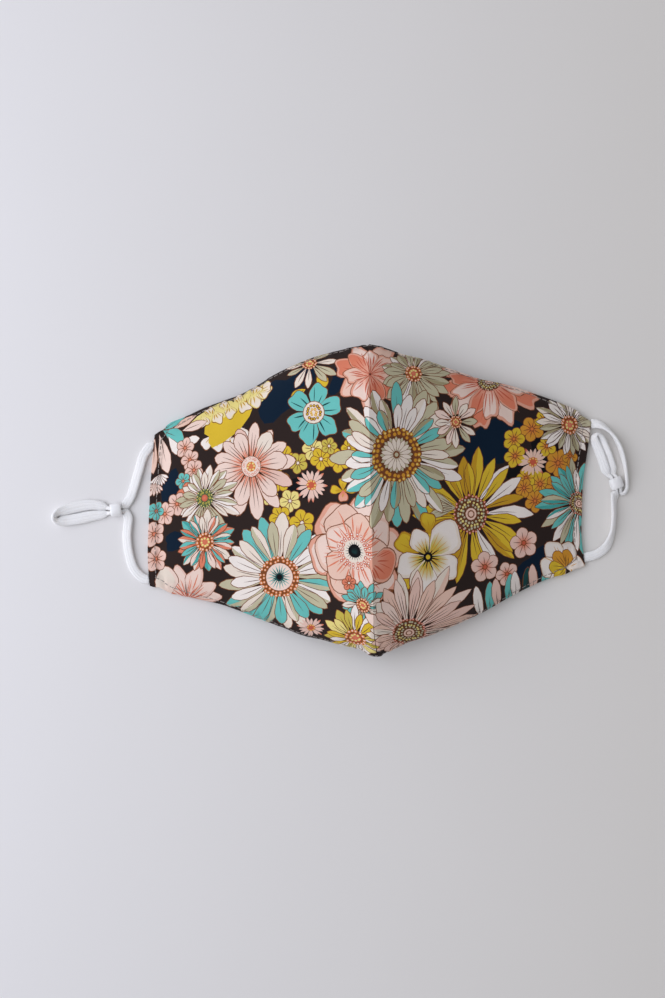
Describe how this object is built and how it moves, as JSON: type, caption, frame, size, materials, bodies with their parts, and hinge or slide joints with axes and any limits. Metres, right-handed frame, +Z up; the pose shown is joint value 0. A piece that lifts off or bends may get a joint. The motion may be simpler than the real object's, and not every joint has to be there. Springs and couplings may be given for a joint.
{
  "type": "cloth face mask",
  "caption": "Shaped cloth face mask with a sharp centre crease, darts at nose and chin, hemmed edges and elastic ear loops with small stoppers.",
  "frame": {"origin": "middle of the cloth's outline, on the surface that the mask lies on", "axes": "+X across the mask towards its right side hem as seen from above, +Y towards the nose, +Z up, out of the mask's front"},
  "size_m": [0.2891, 0.1512, 0.042],
  "materials": {
    "printed_cloth": "woven cotton with a floral print on a dark ground",
    "white_elastic": "soft knitted elastic, matt white",
    "white_silicone": "soft translucent white silicone"
  },
  "bodies": {
    "root": {"mask_shell": "printed_cloth", "ear_loop_left": "white_elastic", "ear_loop_right": "white_elastic", "cord_stopper_left": "white_silicone", "cord_stopper_right": "white_silicone"}
  },
  "joints": []
}
